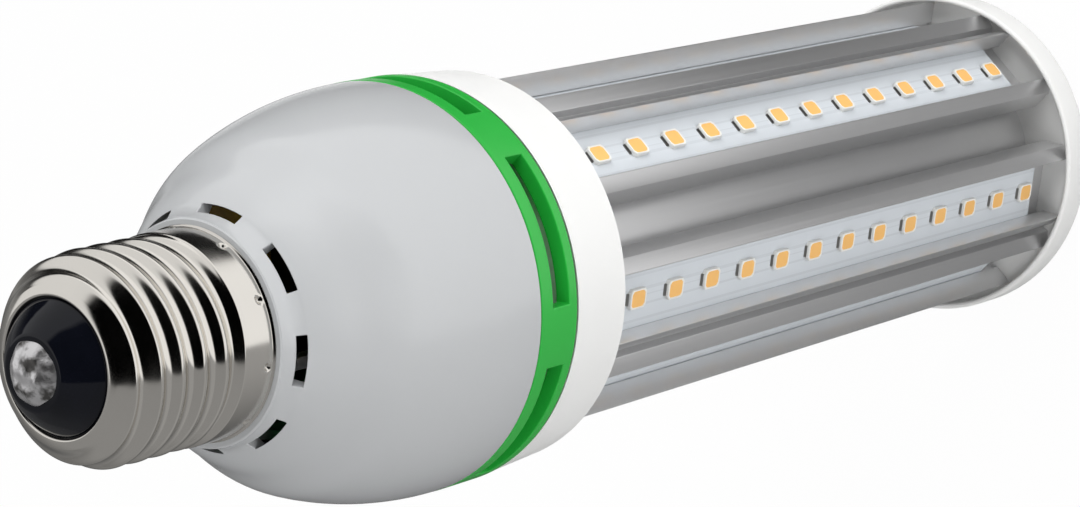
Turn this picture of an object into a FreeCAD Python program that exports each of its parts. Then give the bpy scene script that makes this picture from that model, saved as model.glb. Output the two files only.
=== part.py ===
import FreeCAD, Part
import math
import os

import Sketcher

# Corn bulb with a screw cap: eight strips of light emitting diodes round an extruded heat sink.
# It stands on its flat end cap with the screw cap up. The origin is the middle of the end cap's
# outer face, and +Z runs along the bulb towards the centre contact. Millimetres and degrees.

Vector = FreeCAD.Vector

# Driving dimensions: one cell each, with its name as the cell's alias.
SIZES = [
    ("end_room", 0.486), ("end_wall", 0.9), ("end_plate", 3.6), ("end_lip", 2.5),
    ("end_bevel", 1.3), ("end_spigot", 1.6), ("spigot_wall", 1.4), ("fit_gap", 0.2),
    ("sink_length", 128.9), ("bore_radius", 13.6), ("core_wall", 2.6), ("web_half", 2.6),
    ("pair_angle", 90.0), ("channel_angle", 35.8), ("pair_start_angle", 45.0),
    ("channel_lift", 1.7), ("floor_thick", 1.2), ("shoulder_rise", 2.6), ("lip_rise", 1.85),
    ("lip_cover", 0.5), ("wall_thick", 1.13), ("wall_heel", 0.7), ("port_inset", 1.7),
    ("port_radius", 2.7), ("port_hole", 1.3), ("port_slot", 0.55),
    ("board_half", 5.2), ("board_thick", 1.2), ("board_inset", 4.9), ("board_proud", 2.6),
    ("board_slip", 0.12),
    ("led_across", 2.8), ("led_along", 3.5), ("led_high", 0.7), ("led_window", 0.45),
    ("led_sink", 0.12), ("led_inset", 2.9), ("led_pitch", 8.51), ("led_shift", 0.5),
    ("collar_room", 0.886), ("collar_wall", 1.5), ("collar_flare", 0.6), ("collar_skirt", 8.3),
    ("bulkhead", 2.4), ("wire_hole", 7.0), ("slot_slip", 0.25),
    ("seam", 0.4), ("ring_proud", 0.1), ("ring_high", 7.2), ("ring_wall", 2.2),
    ("ring_web", 1.6), ("sleeve_gap", 4.3), ("sleeve_wall", 1.1), ("vent_low", 1.6),
    ("vent_high", 3.3), ("vent_sweep_angle", 43.0), ("vent_turn_angle", 60.0),
    ("vent_start_angle", 33.8),
    ("dome_step", 0.04), ("dome_wall", 1.8), ("crown_arc", 55.2), ("shoulder_arc", 25.7),
    ("crown_rise", 20.0), ("neck_foot", 15.45), ("neck_low", 14.75), ("neck_step", 0.6),
    ("neck_radius", 14.2), ("neck_rise", 3.15), ("neck_spigot", 3.4), ("neck_bore", 10.6),
    ("window_floor", 0.1), ("window_rim", 0.05), ("window_sweep_angle", 24.5),
    ("window_turn_angle", 45.0), ("window_start_angle", 18.8),
    ("cap_rim", 13.8), ("cap_rim_high", 0.5), ("cap_skirt", 13.2), ("cap_skirt_high", 5.4),
    ("cap_sheet", 0.6), ("thread_root", 12.15), ("thread_crest", 13.1), ("thread_pitch", 3.63),
    ("thread_flat", 0.8), ("thread_count", 4), ("roll_radius", 12.7), ("roll_rise", 1.2),
    ("cap_shoulder", 2.45), ("cap_ceiling", 1.0), ("cap_mouth", 8.4), ("cap_bore", 11.0),
    ("glass_high", 3.4), ("glass_deep", 3.5), ("glass_top", 4.7), ("glass_eye", 1.3),
    ("contact_radius", 4.4), ("contact_high", 1.7), ("contact_rim", 0.6),
    ("contact_crown", 2.6), ("contact_stem", 5.0),
    ("screw_head", 2.6), ("screw_head_high", 1.7), ("screw_shank", 1.1), ("screw_length", 9.0),
    ("screw_recess", 2.0), ("screw_room", 0.3),
    ("drive_angle", -12.2), ("drive_gap", 0.66), ("drive_thick", 1.6), ("panel_thick", 1.2),
    ("panel_wide", 14.0), ("panel_high", 24.5), ("panel_inset", 10.1),
    ("core_wide", 15.0), ("core_deep", 7.0), ("core_high", 23.5), ("core_gap", 3.4),
    ("core_x", 7.0), ("core_y", 1.0), ("tape_wide", 12.6),
    ("bulk_radius", 6.0), ("bulk_high", 19.0), ("bulk_x", -3.5), ("bulk_inset", 11.0),
    ("output_radius", 5.0), ("output_high", 17.0), ("output_x", -4.5), ("output_inset", 10.2),
    ("choke_radius", 4.5), ("choke_high", 10.0), ("choke_waist", 3.2), ("choke_flange", 1.4),
    ("choke_x", 9.0), ("choke_gap", 0.8),
    ("film_wide", 11.0), ("film_deep", 5.0), ("film_high", 9.5), ("film_x", 7.5),
    ("film_inset", 9.6),
    ("bridge_wide", 2.6), ("bridge_deep", 6.4), ("bridge_high", 5.0), ("bridge_x", -8.5),
    ("bridge_y", 3.6),
    ("fuse_radius", 1.6), ("fuse_long", 8.0), ("fuse_inset", 6.2), ("fuse_y", 1.0),
    ("wire_radius", 0.75), ("wire_drop", 7.5), ("wire_room", 1.0), ("live_x", -6.0),
    ("live_y", -4.2), ("neutral_x", -8.0), ("neutral_y", 8.6), ("neutral_high", 5.0),
    ("lead_radius", 0.6), ("link_radius", 0.5), ("link_inset_angle", 4.0),
]


class Size:
    """A size with its present value and the text that works it out in the sheet."""

    def __init__(self, value, text):
        self.value = value
        self.text = text

    def join(self, other, sign, value):
        return Size(value, "(%s %s %s)" % (self.text, sign, size(other).text))

    def __add__(self, other):
        return self.join(other, "+", self.value + size(other).value)

    def __sub__(self, other):
        return self.join(other, "-", self.value - size(other).value)

    def __mul__(self, other):
        return self.join(other, "*", self.value * size(other).value)

    def __truediv__(self, other):
        return self.join(other, "/", self.value / size(other).value)

    def __radd__(self, other):
        return size(other) + self

    def __rsub__(self, other):
        return size(other) - self

    def __rmul__(self, other):
        return size(other) * self

    def __neg__(self):
        return size(0) - self


def size(thing):
    """Take a plain number as a size too."""
    if isinstance(thing, Size):
        return thing
    return Size(float(thing), repr(thing))


def root(thing):
    return Size(math.sqrt(thing.value), "sqrt(%s)" % thing.text)


def sine(angle):
    return Size(math.sin(math.radians(angle.value)), "sin(%s * 1 deg)" % angle.text)


def cosine(angle):
    return Size(math.cos(math.radians(angle.value)), "cos(%s * 1 deg)" % angle.text)


doc = FreeCAD.newDocument("corn_bulb")
sheet = doc.addObject("Spreadsheet::Sheet", "sizes")
S = {}
for row, (alias, number) in enumerate(SIZES, start=1):
    sheet.set("A%d" % row, alias)
    sheet.set("B%d" % row, str(number))
    sheet.setAlias("B%d" % row, alias)
    S[alias] = Size(float(number), "sizes." + alias)
doc.recompute()

# Heights of the seats along the bulb, each from the one below it.
SINK_FOOT = S["end_plate"]
SINK_TOP = SINK_FOOT + S["sink_length"]
COLLAR_TOP = SINK_TOP + S["bulkhead"]
COLLAR_FOOT = SINK_TOP - S["collar_skirt"]
RING_FOOT = COLLAR_TOP + S["seam"]
RING_TOP = RING_FOOT + S["ring_high"]
BOARD_TOP = COLLAR_TOP + S["board_proud"]
DRIVE_TOP = RING_TOP + S["drive_thick"]

BOARD_START = SINK_FOOT + S["board_inset"]
LED_FIRST = BOARD_START + S["led_inset"]

# The heat sink's section, from its bore outwards.
PORT_PLACE = S["bore_radius"] - S["port_inset"]
CORE_RADIUS = S["bore_radius"] + S["core_wall"]
FLOOR_UNDER = CORE_RADIUS + S["channel_lift"]
FLOOR_HEIGHT = FLOOR_UNDER + S["floor_thick"]
SHOULDER_HEIGHT = FLOOR_HEIGHT + S["shoulder_rise"]
LIP_HEIGHT = SHOULDER_HEIGHT + S["lip_rise"]
CHANNEL_HALF = S["board_half"] - S["lip_cover"]
WALL_HALF = S["board_half"] + S["board_slip"] + S["wall_thick"]

# Radii of what goes round the heat sink, from its outermost corners outwards.
SINK_RADIUS = root(CHANNEL_HALF * CHANNEL_HALF + LIP_HEIGHT * LIP_HEIGHT)
END_RADIUS = SINK_RADIUS + S["end_room"] + S["end_wall"]
COLLAR_LOW = SINK_RADIUS + S["collar_room"] + S["collar_wall"]
COLLAR_RADIUS = COLLAR_LOW + S["collar_flare"]
RING_RADIUS = COLLAR_RADIUS + S["ring_proud"]
SLEEVE_RADIUS = RING_RADIUS - S["sleeve_gap"]
DOME_RADIUS = RING_RADIUS - S["dome_step"]
DRIVE_RADIUS = DOME_RADIUS - S["dome_wall"] - S["drive_gap"]

# The dome's two arcs: the crown springs upright from the ring, the shoulder runs on to the neck.
JOIN_HIGH = RING_TOP + S["crown_rise"]
CROWN_X = DOME_RADIUS - S["crown_arc"]
CROWN_COS = root(S["crown_arc"] * S["crown_arc"] - S["crown_rise"] * S["crown_rise"]) / S["crown_arc"]
CROWN_SIN = S["crown_rise"] / S["crown_arc"]
JOIN_X = CROWN_X + S["crown_arc"] * CROWN_COS
SHOULDER_X = JOIN_X - S["shoulder_arc"] * CROWN_COS
SHOULDER_Z = JOIN_HIGH - S["shoulder_arc"] * CROWN_SIN
SHOULDER_IN = S["shoulder_arc"] - S["dome_wall"]
CROWN_IN = S["crown_arc"] - S["dome_wall"]


def shoulder_height(radius, arc):
    """Height of the shoulder arc at a radius from the axis."""
    out = radius - SHOULDER_X
    return SHOULDER_Z + root(arc * arc - out * out)


DOME_TOP = shoulder_height(S["neck_foot"], S["shoulder_arc"])
NECK_TOP = DOME_TOP + S["neck_rise"]
SPIGOT_TOP = NECK_TOP + S["neck_spigot"]
CAP_FOOT = NECK_TOP
THREAD_FOOT = CAP_FOOT + S["cap_skirt_high"]
THREAD_TOP = THREAD_FOOT + S["thread_pitch"] * (S["thread_count"] + 0.25)
CAP_TOP = THREAD_TOP + S["cap_shoulder"]
GLASS_TOP = CAP_TOP + S["glass_high"]
CONTACT_TOP = GLASS_TOP + S["contact_high"]

NODES = []


def named(thing, label):
    """Give a finished sub-part its label and put it on the list to write."""
    thing.Label = label
    NODES.append(thing)
    return thing


def body_of(label):
    return named(doc.addObject("PartDesign::Body", "Body_" + label), label)


def origin_of(body, role):
    return [thing for thing in body.Origin.OriginFeatures if thing.Role == role][0]


def arc_between(start, end, radius, side):
    """Short arc of the corners; its centre is left of the way on for side +1, right for -1."""
    chord = end - start
    half = chord.Length / 2
    across = Vector(-chord.y, chord.x, 0).normalize() * side
    centre = (start + end) * 0.5 + across * math.sqrt(max(radius * radius - half * half, 0.0))
    first, last = (start, end) if side > 0 else (end, start)
    low = math.atan2(first.y - centre.y, first.x - centre.x)
    high = math.atan2(last.y - centre.y, last.x - centre.x)
    if high < low:
        high += 2 * math.pi
    return Part.ArcOfCircle(Part.Circle(centre, Vector(0, 0, 1), radius), low, high)


class Outline:
    """A sketch on one of the body's own planes, with each corner bound to the sheet."""

    def __init__(self, body, label, plane, lift=None, turn=None):
        self.sketch = body.newObject("Sketcher::SketchObject", label)
        self.sketch.AttachmentSupport = [(origin_of(body, plane), "")]
        self.sketch.MapMode = "FlatFace"
        if lift is not None:
            self.sketch.setExpression("AttachmentOffset.Base.z", lift.text)
        if turn is not None:
            self.sketch.setExpression("AttachmentOffset.Rotation.Angle", turn.text + " * 1 deg")

    def bind(self, kind, first, corner, value):
        edge, end = corner
        if kind != "Radius" and abs(value.value) < 1e-9:
            axis = -2 if kind == "DistanceX" else -1
            self.sketch.addConstraint(Sketcher.Constraint("PointOnObject", edge, end, axis))
            return
        if kind == "Radius":
            number = self.sketch.addConstraint(Sketcher.Constraint(kind, edge, value.value))
        else:
            rule = Sketcher.Constraint(kind, first, 1, edge, end, value.value)
            number = self.sketch.addConstraint(rule)
        self.sketch.setExpression("Constraints[%d]" % number, value.text)

    def loop(self, corners, arcs=None):
        """Closed outline through the corners; arcs gives edges that bend, as (radius, side)."""
        arcs = arcs or {}
        corners = [(size(x), size(y)) for x, y in corners]
        places = [Vector(x.value, y.value, 0) for x, y in corners]
        ends = []
        for index, start in enumerate(places):
            end = places[(index + 1) % len(places)]
            if index in arcs:
                radius, side = arcs[index]
                curve = arc_between(start, end, size(radius).value, side)
                edge = self.sketch.addGeometry(curve, False)
                ends.append((edge, 1, 2) if side > 0 else (edge, 2, 1))
            else:
                edge = self.sketch.addGeometry(Part.LineSegment(start, end), False)
                ends.append((edge, 1, 2))
        for index, (edge, first, last) in enumerate(ends):
            after, begin, unused = ends[(index + 1) % len(ends)]
            self.sketch.addConstraint(Sketcher.Constraint("Coincident", edge, last, after, begin))
        for index, (x, y) in enumerate(corners):
            corner = ends[index][:2]
            self.bind("DistanceX", -1, corner, x)
            self.bind("DistanceY", -1, corner, y)
            if index in arcs:
                self.bind("Radius", None, (ends[index][0], None), size(arcs[index][0]))
        return self

    def circle(self, x, y, radius):
        x, y, radius = size(x), size(y), size(radius)
        centre = Vector(x.value, y.value, 0)
        edge = self.sketch.addGeometry(Part.Circle(centre, Vector(0, 0, 1), radius.value), False)
        self.bind("DistanceX", -1, (edge, 3), x)
        self.bind("DistanceY", -1, (edge, 3), y)
        self.bind("Radius", None, (edge, None), radius)
        return self


def feature(body, kind, label, outline, **bound):
    """A sketch based feature whose lengths and angles are bound to the sheet."""
    made = body.newObject("PartDesign::" + kind, label)
    made.Profile = outline.sketch
    for name, value in bound.items():
        if isinstance(value, Size):
            made.setExpression(name, value.text)
        else:
            setattr(made, name, value)
    doc.recompute()
    return made


def revolve(body, label, outline):
    """Turn an outline on the XZ plane right round the bulb's axis."""
    made = body.newObject("PartDesign::Revolution", label)
    made.Profile = outline.sketch
    made.ReferenceAxis = (origin_of(body, "Z_Axis"), [""])
    made.Angle = 360
    doc.recompute()
    return made


def round_pattern(body, label, originals, count):
    made = body.newObject("PartDesign::PolarPattern", label)
    made.Originals = originals
    made.Axis = (origin_of(body, "Z_Axis"), [""])
    made.Angle = 360
    made.setExpression("Occurrences", count.text)
    body.Tip = made
    doc.recompute()
    return made


def count_of(turn):
    """How many equal turns go round once, as a whole number."""
    return Size(round(360 / turn.value), "round(360 / %s)" % turn.text)


def lathe(label, corners, arcs=None):
    """A body turned from one outline of radii and heights."""
    body = body_of(label)
    revolve(body, label + "_turned", Outline(body, label + "_section", "XZ_Plane").loop(corners, arcs))
    return body


# Centre contact: a tinned disc, domed over a straight rim, and a stem through the glass.
def centre_contact():
    stem = S["glass_eye"] - S["fit_gap"]
    lathe("centre_contact", [
        (0, GLASS_TOP - S["contact_stem"]),
        (stem, GLASS_TOP - S["contact_stem"]),
        (stem, GLASS_TOP),
        (S["contact_radius"], GLASS_TOP),
        (S["contact_radius"], GLASS_TOP + S["contact_rim"]),
        (S["contact_crown"], CONTACT_TOP),
        (0, CONTACT_TOP),
    ])


# Glass insulator: a black cone that fills the cap's mouth and carries the contact.
def glass_insulator():
    seat = S["cap_mouth"] - S["fit_gap"]
    foot = CAP_TOP - S["glass_deep"]
    skirt = CAP_TOP - S["cap_sheet"]
    lathe("glass_insulator", [
        (S["glass_eye"], foot),
        (seat + S["cap_sheet"], foot),
        (seat + S["cap_sheet"], skirt),
        (seat, skirt),
        (seat, CAP_TOP),
        (S["glass_top"], GLASS_TOP),
        (S["glass_eye"], GLASS_TOP),
    ])


# Screw cap: rolled sheet with thread ridges at the pitch, a plain skirt and a flared rim.
def screw_shell():
    flat = S["thread_flat"] / 2
    corners = [
        (S["cap_skirt"] - S["cap_sheet"], CAP_FOOT),
        (S["cap_rim"], CAP_FOOT),
        (S["cap_rim"], CAP_FOOT + S["cap_rim_high"]),
        (S["cap_skirt"], CAP_FOOT + S["cap_rim_high"] * 2),
        (S["cap_skirt"], THREAD_FOOT),
    ]
    for turn in range(int(S["thread_count"].value)):
        valley = THREAD_FOOT + S["thread_pitch"] * (turn + 0.25)
        crest = THREAD_FOOT + S["thread_pitch"] * (turn + 0.75)
        corners.append((S["thread_root"], valley))
        corners.append((S["thread_crest"], crest - flat))
        corners.append((S["thread_crest"], crest + flat))
    corners += [
        (S["thread_root"], THREAD_TOP),
        (S["roll_radius"], THREAD_TOP + S["roll_rise"]),
        (S["cap_mouth"] + S["cap_sheet"], CAP_TOP),
        (S["cap_mouth"], CAP_TOP),
        (S["cap_mouth"], CAP_TOP - S["cap_sheet"]),
        (S["cap_mouth"] + S["cap_ceiling"], CAP_TOP - S["cap_sheet"]),
        (S["cap_bore"], THREAD_TOP),
        (S["cap_bore"], THREAD_FOOT + S["cap_sheet"]),
        (S["cap_skirt"] - S["cap_sheet"], THREAD_FOOT - S["cap_sheet"]),
    ]
    lathe("screw_shell", corners)


# Driver housing: one moulding with the dome, the neck ring, its vent windows and the cap's spigot.
def driver_housing():
    body = body_of("driver_housing")
    inner_x = CROWN_X + CROWN_IN * CROWN_COS
    inner_z = RING_TOP + CROWN_IN * CROWN_SIN
    halfway = S["crown_rise"] / 2
    belly_x = CROWN_X + root(CROWN_IN * CROWN_IN - halfway * halfway)
    shoulder_step = (inner_x - S["neck_bore"]) / 3
    spigot = S["cap_skirt"] - S["cap_sheet"] - S["fit_gap"]
    inside = [(S["neck_bore"] + shoulder_step * step,
               shoulder_height(S["neck_bore"] + shoulder_step * step, SHOULDER_IN))
              for step in range(3)]
    section = Outline(body, "housing_section", "XZ_Plane").loop([
        (DOME_RADIUS - S["dome_wall"], RING_TOP),
        (DOME_RADIUS, RING_TOP),
        (JOIN_X, JOIN_HIGH),
        (S["neck_foot"], DOME_TOP),
        (S["neck_low"], DOME_TOP + S["neck_step"]),
        (S["neck_radius"], NECK_TOP),
        (spigot, NECK_TOP),
        (spigot, SPIGOT_TOP),
        (S["neck_bore"], SPIGOT_TOP),
    ] + inside + [
        (inner_x, inner_z),
        (belly_x, RING_TOP + halfway),
    ], {1: (S["crown_arc"], 1), 2: (S["shoulder_arc"], 1)})
    revolve(body, "housing_turned", section)
    low = JOIN_HIGH
    high = NECK_TOP - S["window_floor"]
    near = S["neck_radius"] + S["window_floor"]
    far = S["neck_foot"] + S["window_rim"]
    half = S["window_sweep_angle"] / 2
    window = Outline(body, "window_outline", "XY_Plane", lift=low, turn=S["window_start_angle"])
    window.loop([
        (near * cosine(half), -(near * sine(half))),
        (far * cosine(half), -(far * sine(half))),
        (far * cosine(half), far * sine(half)),
        (near * cosine(half), near * sine(half)),
    ], {1: (far, 1), 3: (near, -1)})
    cut = feature(body, "Pocket", "window_cut", window, Length=high - low, Reversed=True)
    round_pattern(body, "window_ring", [cut], count_of(S["window_turn_angle"]))


# Vent ring: coloured ring with long slots through its wall and a sleeve behind them.
def vent_ring():
    body = body_of("vent_ring")
    inside = RING_RADIUS - S["ring_wall"]
    section = Outline(body, "ring_section", "XZ_Plane").loop([
        (SLEEVE_RADIUS - S["sleeve_wall"], COLLAR_TOP),
        (SLEEVE_RADIUS, COLLAR_TOP),
        (SLEEVE_RADIUS, RING_TOP - S["ring_web"]),
        (inside, RING_TOP - S["ring_web"]),
        (inside, RING_FOOT),
        (RING_RADIUS, RING_FOOT),
        (RING_RADIUS, RING_TOP),
        (SLEEVE_RADIUS - S["sleeve_wall"], RING_TOP),
    ])
    revolve(body, "ring_turned", section)
    low = RING_FOOT + S["vent_low"]
    half = S["vent_sweep_angle"] / 2
    out = RING_RADIUS + S["ring_wall"]
    slot = Outline(body, "vent_outline", "XY_Plane", lift=low, turn=S["vent_start_angle"])
    slot.loop([
        (inside * cosine(half), -(inside * sine(half))),
        (out * cosine(half), -(out * sine(half))),
        (out * cosine(half), out * sine(half)),
        (inside * cosine(half), inside * sine(half)),
    ], {1: (out, 1), 3: (inside, -1)})
    cut = feature(body, "Pocket", "vent_cut", slot, Length=S["vent_high"], Reversed=True)
    round_pattern(body, "vent_slots", [cut], count_of(S["vent_turn_angle"]))


def channel_turns():
    """Where the eight channels face: two beside each pair's middle."""
    pairs = int(round(360 / S["pair_angle"].value))
    turns = []
    for pair in range(pairs):
        middle = S["pair_start_angle"] + S["pair_angle"] * pair
        turns.append((middle - S["channel_angle"] / 2, 1))
        turns.append((middle + S["channel_angle"] / 2, -1))
    return turns


# Collar: a tapered skirt over the heat sink's end, with a bulkhead that the boards pass through.
def collar():
    body = body_of("collar")
    section = Outline(body, "collar_section", "XZ_Plane").loop([
        (S["wire_hole"], SINK_TOP),
        (COLLAR_RADIUS - S["collar_wall"], SINK_TOP),
        (COLLAR_LOW - S["collar_wall"], COLLAR_FOOT),
        (COLLAR_LOW, COLLAR_FOOT),
        (COLLAR_RADIUS, COLLAR_TOP),
        (S["wire_hole"], COLLAR_TOP),
    ])
    revolve(body, "collar_turned", section)
    wide = S["board_half"] + S["slot_slip"]
    low = FLOOR_HEIGHT - S["slot_slip"]
    high = FLOOR_HEIGHT + S["board_thick"] + S["slot_slip"]
    cuts = []
    for index, side in enumerate((-1, 1)):
        turn = S["pair_start_angle"] + S["channel_angle"] / 2 * side - 90
        slot = Outline(body, "board_slot_%d" % index, "XY_Plane", lift=SINK_TOP, turn=turn)
        slot.loop([(-wide, low), (wide, low), (wide, high), (-wide, high)])
        cuts.append(feature(body, "Pocket", "board_cut_%d" % index, slot, Length=S["bulkhead"],
                            Reversed=True))
    hole = Outline(body, "screw_hole", "XY_Plane", lift=SINK_TOP, turn=S["pair_start_angle"])
    hole.circle(PORT_PLACE, 0, S["screw_shank"] + S["screw_room"])
    cuts.append(feature(body, "Pocket", "screw_cut", hole, Length=S["bulkhead"], Reversed=True))
    round_pattern(body, "collar_cuts", cuts, count_of(S["pair_angle"]))


# Heat sink: one extrusion of a hollow core and four pairs of channels with grooves for the boards.
def heat_sink():
    body = body_of("heat_sink")
    core = Outline(body, "core_section", "XY_Plane", lift=SINK_FOOT)
    core.circle(0, 0, CORE_RADIUS).circle(0, 0, S["bore_radius"])
    feature(body, "Pad", "core_pad", core, Length=S["sink_length"])
    groove = S["board_half"] + S["board_slip"]
    lip = FLOOR_HEIGHT + S["board_thick"] + S["board_slip"]
    half = [
        (groove, FLOOR_HEIGHT),
        (groove, lip),
        (CHANNEL_HALF, lip),
        (CHANNEL_HALF, LIP_HEIGHT),
        (WALL_HALF, SHOULDER_HEIGHT),
        (WALL_HALF, FLOOR_UNDER + S["wall_heel"]),
        (WALL_HALF - S["wall_heel"], FLOOR_UNDER),
        (S["web_half"], FLOOR_UNDER),
        (S["web_half"], CORE_RADIUS - (CORE_RADIUS - S["bore_radius"]) / 2),
    ]
    mirror = [(-x, y) for x, y in reversed(half)]
    pads = []
    for index, side in enumerate((-1, 1)):
        turn = S["pair_start_angle"] + S["channel_angle"] / 2 * side - 90
        channel = Outline(body, "channel_section_%d" % index, "XY_Plane", lift=SINK_FOOT, turn=turn)
        channel.loop(half + mirror)
        pads.append(feature(body, "Pad", "channel_pad_%d" % index, channel,
                            Length=S["sink_length"]))
    port = Outline(body, "port_section", "XY_Plane", lift=SINK_FOOT, turn=S["pair_start_angle"])
    port.circle(PORT_PLACE, 0, S["port_radius"])
    pads.append(feature(body, "Pad", "port_pad", port, Length=S["sink_length"]))
    hole = Outline(body, "port_hole_section", "XY_Plane", lift=SINK_FOOT, turn=S["pair_start_angle"])
    hole.circle(PORT_PLACE, 0, S["port_hole"])
    pads.append(feature(body, "Pocket", "port_hole_cut", hole, Length=S["sink_length"],
                        Reversed=True))
    slot = Outline(body, "port_slot_section", "XY_Plane", lift=SINK_FOOT, turn=S["pair_start_angle"])
    near = PORT_PLACE - S["port_radius"] - S["port_slot"]
    slot.loop([(near, -S["port_slot"]), (PORT_PLACE, -S["port_slot"]),
               (PORT_PLACE, S["port_slot"]), (near, S["port_slot"])])
    pads.append(feature(body, "Pocket", "port_slot_cut", slot, Length=S["sink_length"],
                        Reversed=True))
    round_pattern(body, "channel_ring", pads, count_of(S["pair_angle"]))


# End cap: a plate with a bevelled edge, a lip round the heat sink's end and screw recesses.
def end_cap():
    body = body_of("end_cap")
    lip_top = SINK_FOOT + S["end_lip"]
    spigot = S["bore_radius"] - S["fit_gap"] - S["port_radius"] * 2
    section = Outline(body, "end_section", "XZ_Plane").loop([
        (0, 0),
        (END_RADIUS - S["end_bevel"], 0),
        (END_RADIUS, S["end_bevel"]),
        (END_RADIUS, lip_top),
        (END_RADIUS - S["end_wall"], lip_top),
        (END_RADIUS - S["end_wall"], SINK_FOOT),
        (spigot, SINK_FOOT),
        (spigot, SINK_FOOT + S["end_spigot"]),
        (spigot - S["spigot_wall"], SINK_FOOT + S["end_spigot"]),
        (spigot - S["spigot_wall"], SINK_FOOT),
        (0, SINK_FOOT),
    ])
    revolve(body, "end_turned", section)
    hole = Outline(body, "end_hole", "XY_Plane", turn=S["pair_start_angle"])
    hole.circle(PORT_PLACE, 0, S["screw_shank"] + S["screw_room"])
    through = feature(body, "Pocket", "end_hole_cut", hole, Length=SINK_FOOT, Reversed=True)
    recess = Outline(body, "end_recess", "XY_Plane", turn=S["pair_start_angle"])
    recess.circle(PORT_PLACE, 0, S["screw_head"] + S["screw_room"])
    wide = feature(body, "Pocket", "end_recess_cut", recess, Length=S["screw_recess"],
                   Reversed=True)
    round_pattern(body, "end_holes", [through, wide], count_of(S["pair_angle"]))


# Screws: a round head and a plain shank, four in each end of the heat sink's screw ports.
def screw_ring(label, seat, head_way):
    body = body_of(label)
    shank = Outline(body, label + "_shank", "XY_Plane", lift=seat, turn=S["pair_start_angle"])
    shank.circle(PORT_PLACE, 0, S["screw_shank"])
    head = Outline(body, label + "_head", "XY_Plane", lift=seat, turn=S["pair_start_angle"])
    head.circle(PORT_PLACE, 0, S["screw_head"])
    long = feature(body, "Pad", label + "_shank_pad", shank, Length=S["screw_length"],
                   Reversed=head_way > 0)
    cap = feature(body, "Pad", label + "_head_pad", head, Length=S["screw_head_high"],
                  Reversed=head_way < 0)
    round_pattern(body, label + "_four", [long, cap], count_of(S["pair_angle"]))


def place(thing, x, y, z, turn):
    """Bind a primitive's corner, in a frame turned about the bulb's axis, to the sheet."""
    x, y, z, turn = size(x), size(y), size(z), size(turn)
    across = x * cosine(turn) - y * sine(turn)
    along = x * sine(turn) + y * cosine(turn)
    thing.Placement.Rotation = FreeCAD.Rotation(Vector(0, 0, 1), turn.value)
    thing.setExpression("Placement.Base.x", across.text)
    thing.setExpression("Placement.Base.y", along.text)
    thing.setExpression("Placement.Base.z", z.text)
    thing.setExpression("Placement.Rotation.Angle", turn.text + " * 1 deg")
    return thing


def solid(kind, label, **bound):
    made = doc.addObject("Part::" + kind, label)
    for name, value in bound.items():
        made.setExpression(name, size(value).text)
    return made


# Boards: one strip in each channel, slid into its grooves and standing proud of the bulkhead.
def led_board(index, turn):
    board = solid("Box", "led_board_%d" % index, Length=S["board_thick"],
                  Width=S["board_half"] * 2, Height=BOARD_TOP - BOARD_START)
    place(board, FLOOR_HEIGHT, -S["board_half"], BOARD_START, turn)
    named(board, "led_board_%d" % index)


# Diodes: a row of small blocks on each board, each with a sunk window for its phosphor.
def led_row(index, turn, side):
    body = body_of("led_row_%d" % index)
    deck = FLOOR_HEIGHT + S["board_thick"]
    low = LED_FIRST - S["led_along"] / 2
    middle = S["led_shift"] * side
    block = Outline(body, "diode_%d" % index, "XY_Plane", lift=low, turn=turn)
    left = middle - S["led_across"] / 2
    right = middle + S["led_across"] / 2
    top = deck + S["led_high"]
    block.loop([(deck, left), (top, left), (top, right), (deck, right)])
    whole = feature(body, "Pad", "diode_pad_%d" % index, block, Length=S["led_along"])
    sunk = Outline(body, "phosphor_%d" % index, "XY_Plane", lift=low + S["led_window"], turn=turn)
    sunk.loop([(top - S["led_sink"], left + S["led_window"]), (top, left + S["led_window"]),
               (top, right - S["led_window"]), (top - S["led_sink"], right - S["led_window"])])
    window = feature(body, "Pocket", "phosphor_cut_%d" % index, sunk,
                     Length=S["led_along"] - S["led_window"] * 2, Reversed=True)
    row = body.newObject("PartDesign::LinearPattern", "diode_line_%d" % index)
    row.Originals = [whole, window]
    row.Direction = (origin_of(body, "Z_Axis"), [""])
    room = COLLAR_FOOT - S["led_along"] - LED_FIRST
    steps = "floor(%s / sizes.led_pitch)" % room.text
    row.setExpression("Occurrences", steps + " + 1")
    row.setExpression("Length", steps + " * sizes.led_pitch")
    body.Tip = row
    doc.recompute()


# Driver: a round board on the vent ring's top face, an upright panel and the parts they carry.
def driver_board():
    board = solid("Cylinder", "driver_board", Radius=DRIVE_RADIUS, Height=S["drive_thick"])
    place(board, 0, 0, RING_TOP, S["drive_angle"])
    named(board, "driver_board")


def box_on_board(label, x, y, wide, deep, high, lift=0):
    made = solid("Box", label, Length=wide, Width=deep, Height=high)
    place(made, x - wide / 2, y - deep / 2, DRIVE_TOP + lift, S["drive_angle"])
    return made


def can_on_board(label, x, y, radius, high, lift=0):
    made = solid("Cylinder", label, Radius=radius, Height=high)
    place(made, x, y, DRIVE_TOP + lift, S["drive_angle"])
    return made


def fused(label, pieces):
    whole = doc.addObject("Part::MultiFuse", label)
    whole.Shapes = pieces
    return named(whole, label)


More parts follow.
